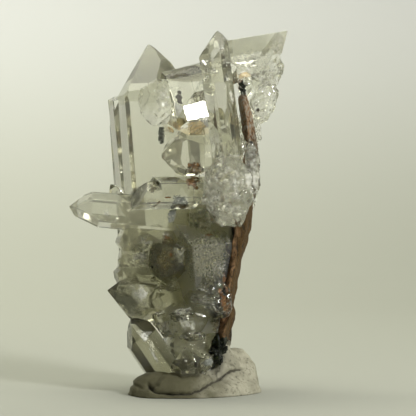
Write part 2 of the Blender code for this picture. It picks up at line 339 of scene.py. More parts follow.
crystals = {  # tip, root, radius, turn, and what isn't as it usually is
    "tallPoint": ((-11.0, 8.5, 80.5), (-6.0, 6.5, 27.0), 9.2, -4, dict(
        sides=(0.92, 1, 1, 0.9, 1, 1), caps=(-0.02, 0.06, 0.06, 0.14, 0.1, 0),
        breaks=(((-5.0, 15.0, 36.0), (0.1, 0.62, -0.78)), ((-15.8, 3.0, 73.5), (-0.9, 0.16, 0.4)),
                ((-7.1, 6.5, 77.6), (0.85, -0.6, 0.26)), ((-11.0, 9.3, 81.1), (0.06, 0.883, 0.469))))),
    "tallFlank": ((-19.2, 5.4, 80.0), (-13.4, 5.0, 30.0), 2.1, -4, dict(
        breaks=(((-18.3, 4.0, 67.6), (-0.2, -0.25, 0.95)),))),
    "frontSpire": ((3.6, -7.4, 80.5), (7.2, -6.2, 54.0), 3.35, 13, dict(
        sides=(1, 1, 1, 1, 0.85, 0.85), caps=(0.33, 0.65, 0.95, 0.44, -0.05, 0.05), taper=0.0)),
    "crossPoint": ((-12.9, -6.0, 63.4), (9.5, 3.6, 69.6), 7.0, 5, dict(
        sides=(1, 1, 1, 1, 1, 1.145), caps=(0.08, 0.4, 0.2, 0, -0.2, 0.4), extra=((35, 0.75),),
        breaks=(((-6.1, -4.0, 65.0), (-0.9, -0.3, -0.1)), ((7.6, -2.0, 69.0), (0.85, -0.5, -0.1))))),
    "wallPoint": ((2.3, 14.0, 75.4), (24.0, 8.0, 78.0), 5.4, 35, dict(
        breaks=(((20.9, 9.0, 83.3), (0.93, 0.15, -0.34)),))),
    "upperSidePoint": ((-7.0, -8.8, 53.8), (4.5, 1.5, 55.4), 4.2, -12, dict(
        caps=(-0.45, 0.1, 0.1, 0.2, 0.1, -0.1))),
    "littleSidePoint": ((-12.7, -8.7, 46.3), (2.2, -2.9, 46.3), 2.6, 4, dict(
        caps=(0.6,) * 6, breaks=(((-8.9, -7.3, 46.3), (-0.82, -0.63, -0.15)),))),
    "slantPoint": ((-18.4, -10.9, 44.8), (0.0, -3.3, 45.4), 2.6, -10, dict(
        caps=(0.6,) * 6, breaks=(((-12.6, -8.5, 45.0), (-0.78, -0.42, 0.46)),))),
    "fingerPoint": ((-28.9, -3.0, 42.0), (-2.0, 1.0, 39.6), 4.2, 4, dict(
        sides=(1, 1, 0.84, 0.8, 0.46, 1), caps=(0.05, 0.05, 0.15, 0.1, 0.1, -0.2))),
    "budPoint": ((-19.6, 2.0, 47.8), (-14.0, 3.0, 40.0), 1.5, 10, {}),
    "rungHigh": ((-20.0, -2.2, 35.6), (-4.0, -0.5, 34.4), 3.4, 20, dict(
        breaks=(((-17.6, -2.0, 35.0), (-1, -0.3, 0.4)), ((-17.0, -2.0, 33.0), (-0.9, -0.2, -0.6))))),
    "rungMiddle": ((-19.6, -3.0, 30.8), (-4.0, 0.0, 30.4), 2.4, -10, dict(
        breaks=(((-17.2, -3.0, 30.8), (-1, -0.2, 0.15)),))),
    "rungLow": ((-20.4, -2.4, 27.2), (-4.0, 0.0, 26.8), 2.8, 5, dict(
        breaks=(((-18.0, -2.4, 27.0), (-1, -0.3, -0.2)), ((-17.4, -2.4, 28.6), (-0.8, -0.3, 0.6))))),
    "stubPoint": ((-7.0, -11.0, 33.6), (-5.4, 3.0, 27.0), 4.0, 15, dict(
        caps=(-0.2, 0.1, 0, 0.1, -0.1, 0.1))),
    "lowerSidePoint": ((-19.4, -6.0, 23.4), (-4.0, 0.5, 20.8), 4.7, 8, dict(
        caps=(0.3, 0.1, 0.1, 0.1, 0.05, 0))),
    "lowerLeanPoint": ((-14.8, -6.0, 16.8), (-5.2, -2.0, 2.4), 3.6, -20, dict(
        caps=(0.1, 0, 0.3, 0.2, 0.3, -0.1), breaks=(((0, 0, 1.3), (0, 0, -1)),))),
    "footPoint": ((-2.2, -12.0, 11.4), (-1.2, -7.0, 1.4), 3.1, 10, dict(
        breaks=(((0, 0, 1.3), (0, 0, -1)),))),
    "smokyHeart": ((0.4, 2.0, 46.9), (3.2, 2.6, 14.0), 8.2, 17, dict(
        dull=0.4, caps=(-0.17, 0.1, 0.1, 0.1, 0.1, 0.3),
        breaks=(((9.8, 0, 41.4), (0.987, 0, -0.163)),))),
    "backBlade": ((3.0, 21.0, 63.0), (3.0, 6.0, 33.0), 4.6, 30, {}),
    "backFinger": ((-14.0, 19.0, 34.0), (-1.0, 6.0, 34.0), 3.6, 12, {}),
    "backSidePoint": ((-13.0, 17.0, 27.0), (0.0, 4.0, 24.0), 4.2, -8, {}),
    "backOutPoint": ((3.0, 21.0, 36.0), (2.0, 4.0, 32.0), 4.0, 18, {}),
    "backLowPoint": ((-6.0, 14.0, 12.0), (1.0, 2.0, 14.0), 3.4, 4, {}),
    "backHighPoint": ((8.0, 20.0, 55.0), (5.0, 5.0, 47.0), 3.8, 35, {}),
}

# How the broken and etched surfaces look: fineness of the mesh, the depth and width of each kind of
# mark, then how dull and how pitted the surface is. Scallops are bowls that meet at ridges, points
# are flat-sided and all turned alike, and fibres run up and down.
reliefs = {
    "hidden": dict(fine=3, scallops=(0.2, 2.5), points=(0, 1), swell=(0.2, 4.0), dull=0.1, pits=0.5),
    "etched": dict(fine=5, scallops=(0.3, 2.4), points=(0.5, 1.6), swell=(0.4, 4.2), dull=0.04, pits=1),
    "glinting": dict(fine=5, scallops=(0.3, 1.9), points=(0.5, 1.5), swell=(0.4, 4.0), dull=0.06, pits=0.6),
    "frosted": dict(fine=5, scallops=(0.16, 1.5), points=(0.2, 1.3), swell=(0.3, 3.5), dull=0.22, pits=1),
    "broken": dict(fine=5, scallops=(0.6, 3.6), points=(0.2, 1.8), swell=(0.5, 4.5), dull=0.04, pits=0.4),
    "shards": dict(fine=5, scallops=(0.6, 2.8), points=(0.4, 1.7), swell=(0.5, 4.0), dull=0.04, pits=0.6),
    "bark": dict(fine=6, scallops=(0.25, 1.7), points=(0, 1), swell=(0.35, 3.0), fibres=(0.32, 0.55),
                 dull=1, pits=1),
}

# Lumps: centre, half sizes, seed, flat breaks and relief, then lean about Y and unevenness
quartzLumps = (
    # the etched knob, the small lump above it, and the frosted end of the crossing crystal
    ((7.7, -7.5, 46.4), (6.3, 5.7, 8.8), 3, 30, "etched"),
    ((8.6, -4.5, 55.5), (2.9, 3.1, 3.5), 8, 18, "etched"),
    ((-7.9, -3.4, 66.5), (4.6, 4.4, 5.8), 9, 24, "frosted", 14, 0.12),
    # rough ends on the left
    ((-14.6, -2, 34.6), (3.3, 3.4, 2.7), 61, 20, "shards", 0, 0.18),
    ((-13.8, -2.6, 30.2), (4, 3.6, 2.9), 62, 20, "shards", 0, 0.18),
    ((-14.6, -2.2, 26.6), (3.2, 3.2, 2.4), 63, 20, "shards", 0, 0.18),
    # what the crystals grow from
    ((3, 4, 57), (8, 6.5, 12), 11, 18, "hidden"),
    ((0.5, 9.5, 40), (8.5, 6.5, 12), 12, 18, "hidden"),
    ((1, 4.5, 24), (8.5, 7.5, 12), 13, 18, "hidden"),
    ((0.5, 1.5, 11), (7.5, 6.5, 9), 14, 18, "hidden"),
    ((4.8, 8.5, 38), (5.4, 6.5, 8.5), 41, 18, "hidden"),
    ((3.6, 3, 29), (5.2, 6.5, 7.5), 42, 18, "hidden"),
    ((3, 2, 20), (5.2, 6, 7), 43, 18, "hidden"),
    ((-6, 9.5, 20), (7, 5.5, 8), 45, 24, "broken"),
    ((1, 9, 15), (6.5, 5.5, 7.5), 46, 24, "broken"),
    ((3, 12, 44), (6, 5, 10), 47, 24, "broken"),
    # broken masses at the lower front
    ((3.4, -5.6, 22), (6.2, 4.8, 5.6), 15, 24, "shards"),
    ((-3, -6, 16.6), (6.4, 4.4, 4.6), 16, 22, "broken", 0, 0.18),
    ((-1, -6, 11), (5.2, 4.5, 5.2), 17, 20, "shards", 0, 0.18),
    ((1.6, -8.6, 7.6), (2.6, 2.4, 3), 18, 18, "etched"),
    ((-8.9, -4.9, 23.9), (2.4, 2.5, 2.8), 54, 18, "etched"),
    ((-5.5, -5.5, 25), (2.6, 2.4, 2.2), 55, 18, "etched"),
    # under the upper side point
    ((0.2, -6.6, 50.6), (2.4, 1.5, 1.3), 57, 16, "etched"),
    # beside the knob, in front of the rock
    ((12.9, -5.6, 50.6), (2.3, 1.9, 6.6), 56, 18, "etched"),
    # the broken wall on the right
    ((10.5, 7, 69), (6, 4.6, 8.5), 20, 22, "broken"),
    ((17.2, 8.5, 75.2), (4.3, 5, 5.6), 21, 26, "glinting", 0, 0.2),
    ((15.2, 8.8, 67.6), (4.3, 5.4, 7.2), 22, 34, "glinting", 20, 0.2),
    ((9, 7, 56), (5, 5.4, 9), 44, 22, "broken"),
    ((12.4, 8.3, 58.6), (3.9, 6.2, 7.6), 24, 34, "glinting", 8, 0.2),
    ((11.8, 7.9, 47.6), (3.9, 6.2, 8.4), 25, 34, "glinting", 4, 0.2),
)

# Healed cracks inside: centre, which way they face, half sizes, turn, waviness and seed
innerCracks = (
    # the front spire
    ((2.5, -8.4, 75), (-0.3, -0.6, 0.74), (1.7, 1.3), 20, 0.35, 5),
    ((3.5, -8.8, 73), (-0.1, -0.55, 0.83), (1.8, 1.1), 0, 0.35, 6),
    ((2.9, -8.2, 71.4), (-0.5, -0.7, 0.5), (1.2, 1), 40, 0.3, 7),
    # the crystal behind, along the top right
    ((11.6, 9, 76.6), (-0.1, -0.78, 0.6), (4, 1.2), 12, 0.25, 9),
    ((10, 7, 72), (0.3, -0.8, 0.5), (2.2, 1), 30, 0.3, 11),
    # the knob
    ((6.6, -8.4, 49.6), (0.3, -0.6, 0.74), (3.2, 2.2), 20, 0.6, 13),
    ((9.4, -9, 46), (-0.3, -0.7, 0.64), (2.6, 2.2), 70, 0.6, 14),
    ((7.2, -9.4, 42.6), (0.1, -0.5, 0.86), (2.8, 1.8), 0, 0.6, 15),
    ((9.8, -8.2, 41.4), (0.5, -0.6, 0.6), (1.6, 1.4), 30, 0.5, 16),
    # the broken lower masses
    ((1.6, -7.4, 21.4), (0.1, -0.5, 0.86), (4.2, 1.8), 6, 0.5, 18),
    ((5.2, -7, 19.8), (0.2, -0.55, 0.8), (3.4, 1.5), -12, 0.5, 19),
    ((-3.4, -7.6, 17.8), (0.2, -0.6, 0.76), (2.8, 1.5), 20, 0.5, 20),
    ((-0.6, -7.4, 13.4), (0, -0.55, 0.83), (3.2, 1.6), 0, 0.5, 21),
    ((2.4, -7.2, 25), (-0.3, -0.6, 0.72), (3, 1.8), 30, 0.5, 22),
)

quartzSettings = {
    "edgeWear": 0.09,
    "taper": 0.8,  # degrees that each prism face leans in towards the tip
    "caps": (0, 0.12, 0, 0.12, 0, 0.12),
    "smoothBelow": 13.0,  # degrees; sharper edges stay sharp
    "tint": (0.62, 0.56, 0.0),
    "tintDensity": 6.0,
    "grooves": 0.15,  # the height of growth lines and of pits, in parts of "relief"
    "pits": 3.5,
    "relief": 0.02,
}


def quartzCrystal(shape, wear, shrink=0.0):
    tip, root, radius, spin, more = shape
    tip, root = Vector(tip), Vector(root)
    axis = (tip - root).normalized()
    ahead, aside = frameAlong(axis)
    planes = [(root, -axis)]
    sides = more.get("sides", (1,) * 6)
    caps = more.get("caps", quartzSettings["caps"])
    lean = math.radians(more.get("taper", quartzSettings["taper"]))
    tilt = math.radians(rhombTilt)
    for k in range(6):
        out = around(ahead, aside, spin + 60 * k)
        planes.append((tip + out * radius * sides[k], out * math.cos(lean) + axis * math.sin(lean)))
        cap = out * math.sin(tilt) + axis * math.cos(tilt)
        planes.append((tip + cap * radius * caps[k], cap))
    for turn, reach in more.get("extra", ()):
        out = around(ahead, aside, turn)
        planes.append((tip + out * radius * reach, out * math.cos(lean) + axis * math.sin(lean)))
    planes.extend(more.get("breaks", ()))
    if shrink:
        planes = [(Vector(p) - Vector(n).normalized() * shrink, n) for p, n in planes]
    bm = cutBlock((tip + root) / 2, (tip - root).length + 3 * radius, planes)
    worn = wearEdges(bm, wear) if wear else set()
    markFaces(bm, axis, more.get("dull", 0.0), wornFaces=worn)
    return bm


def lumpBreaks(half, seed, faces, lean, rough):
    # which way each flat break faces, and how far it is from the lump's middle
    rng = random.Random(seed)
    turned = turnedBy((0, lean, 0))
    found = []
    for way in evenDirections(faces, 0.25, rng):
        out = 1 - rng.uniform(0, rough)
        touch = Vector([w * h * out for w, h in zip(way, half)])
        normal = turned @ Vector([w / h for w, h in zip(way, half)]).normalized()
        found.append((normal, (turned @ touch).dot(normal)))
    return found


latticeTurn = turnedBy((24, 38, 15))  # the etched points all stand this way, as their crystal does


def reliefAt(here, relief):
    # how deep the surface is at a place, in millimetres
    deep, wide = relief["scallops"]
    near = noise.voronoi(here / wide)[0][0]
    depth = deep * (1 - min(1.0, 1.25 * near) ** 2)
    deep, wide = relief["points"]
    if deep:
        near = noise.voronoi(latticeTurn @ here / wide, distance_metric="MANHATTAN")[0][0]
        depth += deep * min(1.0, near)
    if "fibres" in relief:
        deep, wide = relief["fibres"]
        depth += deep * abs(noise.noise(Vector((here.x, here.y, 0.14 * here.z)) / wide))
    deep, wide = relief["swell"]
    return depth + deep * noise.noise(here / wide)


def brokenLump(centre, half, seed, faces, kind, lean=0, rough=0.16):
    # a fine ball pressed onto the lump's flat breaks, then marked
    centre, relief = Vector(centre), reliefs[kind]
    planes = lumpBreaks(half, seed, faces, lean, rough)
    bm = bmesh.new()
    bmesh.ops.create_icosphere(bm, subdivisions=relief["fine"], radius=1)
    for vert in bm.verts:
        way = vert.co.normalized()
        reach = min(away / way.dot(normal) for normal, away in planes if way.dot(normal) > 0.05)
        here = centre + way * reach
        vert.co = here - way * reliefAt(here, relief)
    bmesh.ops.recalc_face_normals(bm, faces=bm.faces)
    markFaces(bm, toTop, relief["dull"], relief["pits"])
    return bm


crackFinish = (0.02, 0.2)


def wavySheet(centre, facing, half, turn, wave, seed, thick=0.03, cells=14):
    # a thin round-edged sheet with two faces and a closed rim, crumpled a little
    rng = random.Random(seed)
    shift = anywhere(rng, 50)
    facing = Vector(facing).normalized()
    level, steep = turnedFrame(facing, math.radians(turn), toTop)
    bm = bmesh.new()
    bmesh.ops.create_grid(bm, x_segments=cells, y_segments=cells, size=1)
    for vert in bm.verts:
        square = max(abs(vert.co.x), abs(vert.co.y))
        way = vert.co.normalized() if square > 1e-6 else Vector((1, 0, 0))
        edge = 1 + 0.4 * noise.noise(way * 1.8 + shift)
        flat = way * square * edge
        place = steep * flat.x * half[0] + level * flat.y * half[1]
        place += facing * wave * (noise.noise(place * 0.7 + shift) + 0.4 * noise.noise(place * 2 + shift))
        vert.co = Vector(centre) + place
    bmesh.ops.solidify(bm, geom=bm.faces[:], thickness=thick)
    bmesh.ops.recalc_face_normals(bm, faces=bm.faces)
    markFaces(bm, facing, *crackFinish)
    return bm


def makeQuartz(material):
    wear, smooth = quartzSettings["edgeWear"], quartzSettings["smoothBelow"]
    solids = [quartzCrystal(shape, wear) for shape in crystals.values()]
    solids += [brokenLump(*lump) for lump in quartzLumps]
    whole = toBm(combined(solids))
    cracks = [wavySheet(*crack) for crack in innerCracks]
    mesh = tidied(combined([whole, *cracks], "DIFFERENCE"))
    piece = inScene("quartz_crystals", mesh, material, smooth)
    flatWhereClean(mesh)
    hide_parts("quartz_cluster")
    print("quartz:", len(mesh.polygons), "faces")
    return piece


def quartzMaterial():
    material, tree, shader = newMaterial("clear_quartz")
    place = placeIn(tree)
    dull, pitted, _ = partsOf(tree, uvOf(tree, "finish"))
    grooves = noiseOf(tree, stretched(tree, uvOf(tree, "growth"), (5.0, 0.2, 1.0)), 1.0, 3.0)
    pits = noiseOf(tree, place, 0.9, 5.0, 0.62, 1.6)
    whole = mathOf(tree, "SUBTRACT", 1.0, pitted)
    height = mathOf(tree, "ADD", product(tree, grooves, product(tree, whole, quartzSettings["grooves"])),
                    product(tree, pits, product(tree, pitted, quartzSettings["pits"])))
    bumpOf(tree, shader, height, quartzSettings["relief"])
    feed(tree, shader, {"Base Color": (1, 1, 0.985, 1), "Roughness": dull,
                        "Transmission Weight": 1.0, "IOR": quartzBend})
    absorb = addNode(tree, "ShaderNodeVolumeAbsorption", {
        "Color": (*quartzSettings["tint"], 1), "Density": quartzSettings["tintDensity"]})
    feed(tree, tree.nodes["Material Output"], {"Volume": absorb.outputs[0]})
    return material


quartzPiece = makeQuartz(quartzMaterial())


# Stains, crusts and painted highlights: thin films that lie on the front of the quartz

filmKinds = {
    # two colours, how much of a patch is covered, specks per millimetre, how soft the edge is, how
    # thick it gets, and dullness
    "iron": (((0.09, 0.035, 0.008), (0.26, 0.13, 0.035)), 0.7, 0.9, 0.16, 0.85, 0.5),
    "dark": (((0.012, 0.012, 0.008), (0.04, 0.03, 0.018)), 0.75, 0.9, 0.1, 0.95, 0.4),
    "haze": (((0.12, 0.118, 0.075), (0.36, 0.355, 0.26)), 0.8, 0.8, 0.35, 0.8, 0.4),
    "veil": (((0.5, 0.5, 0.42), (0.84, 0.83, 0.74)), 0.66, 0.7, 0.34, 0.5, 0.4),
    "amber": (((0.66, 0.5, 0.26), (0.82, 0.7, 0.45)), 0.9, 0.6, 0.3, 0.85, 0.3),
    "druse": (((0.3, 0.3, 0.25), (0.85, 0.84, 0.76)), 0.42, 2.0, 0.08, 0.95, 0.3),
    "grey": (((0.09, 0.1, 0.085), (0.3, 0.31, 0.27)), 0.8, 1.9, 0.1, 0.95, 0.5),
    # white specks, and painted highlights
    "white_specks_and_highlights": (((0.5, 0.49, 0.42), (0.8, 0.78, 0.68)), 0.55, 1.3, 0.07, 0.95, 0.35),
    "mottle": (((0.09, 0.088, 0.055), (0.4, 0.39, 0.27)), 0.8, 2.4, 0.25, 0.6, 0.5),
    "milk": (((0.42, 0.42, 0.33), (0.7, 0.69, 0.6)), 0.9, 0.6, 0.3, 0.88, 0.4),
    "dusk": (((0.15, 0.15, 0.105), (0.22, 0.22, 0.155)), 0.95, 0.3, 0.3, 0.55, 0.35),
    "umber": (((0.05, 0.04, 0.014), (0.14, 0.12, 0.055)), 0.82, 0.8, 0.3, 0.8, 0.4),
    "brown": (((0.12, 0.085, 0.04), (0.26, 0.2, 0.11)), 0.9, 0.9, 0.3, 0.92, 0.4),
    # white streaks, and painted highlights
    "streaks_and_highlights": (((0.7, 0.7, 0.62), (0.9, 0.9, 0.82)), 0.8, 1.6, 0.15, 0.75, 0.3),
}
filmPatches = {  # middle in X and Z, half sizes, turn
    "iron": (
        (-1, 48.2, 0.35, 2.3, -15), (0.7, 48.6, 0.3, 2, 20), (-0.2, 50.4, 2, 0.4, 27),
        (-0.2, 48.4, 2.2, 3, 0), (0.1, 51.8, 2.3, 1.3, 0), (6.3, 21.5, 1, 3.8, 12),
        (6.9, 25.5, 0.8, 3, 12), (4.3, 39.9, 0.9, 0.9, 0), (8.4, 40.4, 0.45, 0.45, 0),
        (9.5, 38.7, 0.45, 0.45, 0), (-6.5, 35.5, 1.3, 0.9, 0), (-5.3, 32, 0.6, 1.5, 0),
        (-8.3, 43.4, 1.9, 0.32, 37), (-6, 44.7, 1.1, 0.25, 5), (3.4, 36.2, 1.5, 0.45, 0),
        (5.5, 34.1, 0.5, 0.5, 0), (10.4, 70.9, 1.1, 1.9, 0)),
    "dark": (
        (8.2, 29.4, 0.8, 6.4, 10), (7.1, 15.8, 1.4, 3.8, 15), (-9.6, 29, 0.45, 0.55, 0),
        (-3.5, 67.1, 0.85, 2.4, 4), (11.5, 70.5, 0.4, 0.45, 0), (11.5, 68.9, 0.4, 0.4, 0),
        (13.2, 72.6, 0.55, 0.2, 0), (12.9, 58.5, 0.8, 3.3, 0), (14.6, 65.2, 0.5, 0.5, 0),
        (6, 16.2, 0.7, 3, 20)),
    "haze": (
        (1.9, 40.1, 4.8, 3.8, 0), (5.2, 34.2, 3.6, 3.6, 0), (-3.2, 33, 2.4, 5, -8),
        (-11.6, 32.4, 3.4, 4.6, 0)),
    "veil": (
        (13.6, 76, 7, 4.6, 8), (16.6, 70.6, 3.6, 6, -20), (14.6, 59.4, 2.6, 8, -6),
        (19.5, 79.6, 3, 3.6, 0), (3.2, 74, 2.4, 3.4, 0), (-1, 15.9, 3.8, 2.6, -10),
        (7.7, 46.4, 5.6, 7.8, 0), (-19.7, 41.2, 1.3, 2.1, 0), (-1, 51, 2.6, 1.6, 20),
        (-7, 67, 3.2, 4.4, 0)),
    "amber": (
        (-4.7, 60.6, 2.6, 1.4, 0), (0.3, 60.8, 2.9, 1.9, 5), (0.9, 77, 0.35, 2.2, -28),
        (11.4, 73.2, 2, 1.2, 10)),
    "druse": ((5.7, 28.8, 2.9, 2.9, 20),),
    "grey": (
        (-7.7, 59.2, 0.95, 2.8, 0), (-3.2, 43.6, 2.4, 1.8, -30), (-5.1, 41.2, 1.1, 2.7, -12),
        (3.2, 7.7, 1.8, 1, 0)),
    # painted highlights among them: the window reflection on the foot point, the bright strip on the spire's
    # narrow side and the white glints on the broken lower masses; the others are white specks
    "white_specks_and_highlights": (
        (-4, 63.7, 0.85, 1.2, 0), (10.4, 71, 0.75, 1.4, 0), (11.7, 63.6, 1.1, 1, 0),
        (8.3, 67.4, 0.55, 2.8, 8), (7.2, 71.4, 0.5, 0.8, 8), (-6.7, 36.4, 1.5, 0.3, 0),
        (1.4, 38.3, 0.5, 0.5, 0), (1.2, 18.4, 1.9, 0.5, -25), (-3.1, 16.8, 0.9, 0.5, -50),
        (-7.8, 15.1, 0.7, 0.35, -35), (-1.9, 8.3, 0.6, 0.6, 20)),
    "mottle": ((2.5, 31, 6.2, 7, 0),),
    "milk": ((12.9, 50.6, 2.4, 6.6, 0), (-12.1, 23.3, 1.8, 2.5, 0)),
    "dusk": ((-14.6, 21.6, 4.4, 4.6, 0), (-6.4, 75.9, 1.9, 2.2, -40), (-13.4, 45.2, 1.8, 3, -35)),
    "umber": (
        (-6.6, 30.2, 3.3, 4.2, 0), (-6, 34.8, 2.6, 0.9, 0), (6.2, 15.8, 1.8, 3.2, 15),
        (5, 15.6, 1.5, 3.2, 20), (-9.2, 47.3, 1.2, 2.2, -20), (-5.2, 49, 2.6, 0.45, 0),
        (-3.2, 72.5, 3.6, 0.5, 8)),
    "brown": ((0.1, 50.6, 2.5, 1.5, 0), (-2.9, 42.6, 2, 0.7, 0)),
    "streaks_and_highlights": (
        # painted highlight: the first two are a white strip along the lower lean point; the others are white
        # streaks over the broken wall on the right
        (-9.1, 8.9, 0.4, 2.9, 30), (-11.3, 13.3, 1, 1.2, 30), (7.8, 75.1, 1.8, 0.15, 15),
        (13.8, 77.1, 2.3, 0.18, 12), (17.4, 78.2, 1.5, 0.2, 20), (11, 73.9, 1.1, 0.2, 15),
        (14.8, 73.6, 1.8, 0.25, 30), (11.1, 75.7, 1.7, 0.12, 12), (15.5, 70.2, 1.6, 0.2, 40),
        (16.9, 65.1, 1.2, 0.2, 60), (15.5, 60.4, 1.4, 0.2, 70)),
}
filmSettings = {
    "cell": 0.22,  # of the grid
    "before": 60,  # how far in front the grid starts
    "off": 0.03,  # how far off the quartz the first kind lies
    "apart": 0.012,  # how much further off each next kind lies
    "thick": 0.02,
    "step": 1.1,  # a film doesn't span a deeper step
    "smoothBelow": 60,
    "relief": 0.05,
    "rim": (2.5, 0.3),  # how late and how much a patch thins out towards its rim
    "level": (0.64, 0.4),  # the specks' level with no cover, and how far full cover lowers it
}


def filmSheet(bm, uvs, tree, middle, half, turn, off, settings):
    # a grid let down onto the surface from the front, without the cells that would span a gap
    spun = Matrix.Rotation(math.radians(turn), 2)
    across, up = (max(3, math.ceil(2 * h / settings["cell"])) for h in half)
    grid = {}
    for i in range(across + 1):
        for j in range(up + 1):
            flat = Vector((2 * i / across - 1, 2 * j / up - 1))
            place = spun @ Vector((flat.x * half[0], flat.y * half[1])) + Vector(middle)
            start = Vector((place.x, -settings["before"], place.y))
            hit = tree.ray_cast(start, Vector((0, 1, 0)))[0]
            if hit:
                grid[i, j] = bm.verts.new(hit - Vector((0, off, 0))), flat
    for i in range(across):
        for j in range(up):
            ring = [grid.get(k) for k in ((i, j), (i + 1, j), (i + 1, j + 1), (i, j + 1))]
            if None in ring:
                continue
            depths = [vert.co.y for vert, _ in ring]
            if max(depths) - min(depths) > settings["step"]:
                continue
            face = bm.faces.new([vert for vert, _ in ring])
            for loop, (_, flat) in zip(face.loops, ring):
                loop[uvs].uv = flat


def filmMaterial(kind, look, settings):
    material, tree, shader = newMaterial(kind + "_film")
    colours, cover, grain, soft, most, dull = look
    place = placeIn(tree)
    away = addNode(tree, "ShaderNodeVectorMath", {0: uvOf(tree, "patch")}, operation="LENGTH")
    specks = noiseOf(tree, place, grain, 5.0, 0.62)
    tones = noiseOf(tree, place, grain * 1.7, 3.0, 0.6)
    late, thinner = settings["rim"]
    outwards = mathOf(tree, "POWER", away.outputs["Value"], late)
    level = mathOf(tree, "SUBTRACT", specks, product(tree, outwards, thinner))
    bare, lower = settings["level"]
    start = bare - lower * cover
    feed(tree, shader, {
        "Base Color": mixColour(tree, rangeOf(tree, tones, 0.38, 0.62), *colours), "Roughness": dull,
        "Alpha": rangeOf(tree, level, start, start + soft, 0.0, most)})
    bumpOf(tree, shader, tones, settings["relief"])
    return material


def makeFilms(host, kinds, patches, settings):
    near = toBm(host.data)
    surface = BVHTree.FromBMesh(near)
    near.free()
    for number, (kind, look) in enumerate(kinds.items()):
        bm = bmesh.new()
        uvs = bm.loops.layers.uv.new("patch")
        off = settings["off"] + number * settings["apart"]
        for x, z, wide, high, turn in patches[kind]:
            filmSheet(bm, uvs, surface, (x, z), (wide, high), turn, off, settings)
        loose = [vert for vert in bm.verts if not vert.link_faces]
        bmesh.ops.delete(bm, geom=loose, context="VERTS")
        bmesh.ops.solidify(bm, geom=bm.faces[:], thickness=settings["thick"])
        bmesh.ops.recalc_face_normals(bm, faces=bm.faces)
        material = filmMaterial(kind, look, settings)
        film = inScene(kind + "_film", fromBm(kind, bm), material, settings["smoothBelow"])
        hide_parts("quartz_cluster")
    print("films made")


makeFilms(quartzPiece, filmKinds, filmPatches, filmSettings)


# Smoke and milk: the darker and the cloudy quartz inside, each lying within the quartz's own surface

smokeColour = (0.29, 0.26, 0.0)
cloudSettings = {
    "inset": 0.35,
    "milkStain": (0.01, 0.012, 0.15),  # the share of the milk that takes up light
    # per metre: how much it darkens and how much it clouds, then the crystals and ellipsoids it fills
    "bodies": {
        "smoke_in_heart": (90.0, 130.0, ("smokyHeart",), (
            ((1.0, 8.6, 38.0), (7.6, 5.6, 9.0)), ((1.0, 3.6, 25.0), (7.6, 6.4, 10.0)),
            ((0.6, 0.0, 14.0), (6.6, 5.0, 8.0)))),
        "smoke_in_stub": (240.0, 60.0, ("stubPoint",), ()),
        "smoke_in_rungs": (90.0, 110.0, ("rungHigh", "rungMiddle", "rungLow"), ()),
        "smoke_in_small_points": (120.0, 45.0, ("footPoint", "lowerLeanPoint"), ()),
        "smoke_in_side_points": (95.0, 35.0, ("lowerSidePoint",), ()),
        "smoke_in_upper_point": (10.0, 60.0, ("upperSidePoint",), ()),
        "smoke_in_spire": (30.0, 30.0, ("frontSpire",), ()),
        "milk_in_masses": (25.0, 60.0, (), (
            ((3.4, -4.8, 22.0), (5.0, 3.4, 4.4)), ((-3.0, -5.2, 16.6), (5.0, 3.0, 3.4)),
            ((-1.0, -5.2, 11.0), (4.0, 3.2, 4.0)))),
        "milk_in_knob": (1.0, 50.0, (), (((7.7, -6.8, 46.4), (5.0, 4.2, 7.2)),)),
        "milk_in_tall_point": (0.0, 14.0, ("tallPoint",), ()),
        "milk_in_side_points": (4.0, 80.0, ("littleSidePoint", "slantPoint", "fingerPoint"), ()),
        "milk_in_wall": (2.0, 45.0, ("wallPoint",), (
            ((16.6, 8.6, 74.6), (3.2, 3.8, 4.2)), ((14.8, 9.0, 67.4), (3.0, 4.0, 5.6)))),
    },
    # coloured parts of one crystal: density, colour, the crystal, and the ellipsoid that marks off the part
    "parts": {
        "smoke_in_slant_end": (240.0, smokeColour, "slantPoint", ((-14.4, -8.8, 44.4), (2.9, 3.4, 3.6))),
        "smoke_in_little_end": (1100.0, smokeColour, "littleSidePoint",
                                ((-11.0, -7.4, 47.6), (2.2, 3.0, 3.0))),
        "iron_in_cross_point": (80.0, (0.63, 0.45, 0.0), "crossPoint", ((-2.0, 0.0, 60.4), (7.0, 6.0, 2.6))),
        "smoke_in_cross_top": (330.0, smokeColour, "crossPoint", ((-2.5, -1.0, 72.6), (7.0, 6.0, 2.2))),
    },
}


def ellipsoid(centre, half, seed, bumpy=0.18):
    bm = bmesh.new()
    bmesh.ops.create_icosphere(bm, subdivisions=3, radius=1)
    for vert in bm.verts:
        swell = 1 + bumpy * noise.noise(vert.co * 1.6 + Vector((seed, 0, 0)))
        vert.co = Vector(centre) + Vector([c * h * swell for c, h in zip(vert.co, half)])
    bmesh.ops.recalc_face_normals(bm, faces=bm.faces)
    return bm


def cloudMaterial(name, takenUp, milk):
    # how much of each colour a metre takes up, and how much it clouds
    material, tree, shader = newMaterial(name)
    tree.nodes.remove(shader)
    left = [1 - taken / max(takenUp) for taken in takenUp]
    whole = addNode(tree, "ShaderNodeAddShader", {})
    for slot, (kind, colour, density) in enumerate((
            ("Absorption", left, max(takenUp)), ("Scatter", (1, 1, 1), milk))):
        if density:
            part = addNode(tree, "ShaderNodeVolume" + kind, {"Color": (*colour, 1), "Density": density})
            feed(tree, whole, {slot: part.outputs[0]})
    feed(tree, tree.nodes["Material Output"], {"Volume": whole.outputs[0]})
    return material


def addCloud(name, mesh, material):
    cloud = inScene(name, tidied(mesh), material)
    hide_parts("quartz_cluster")


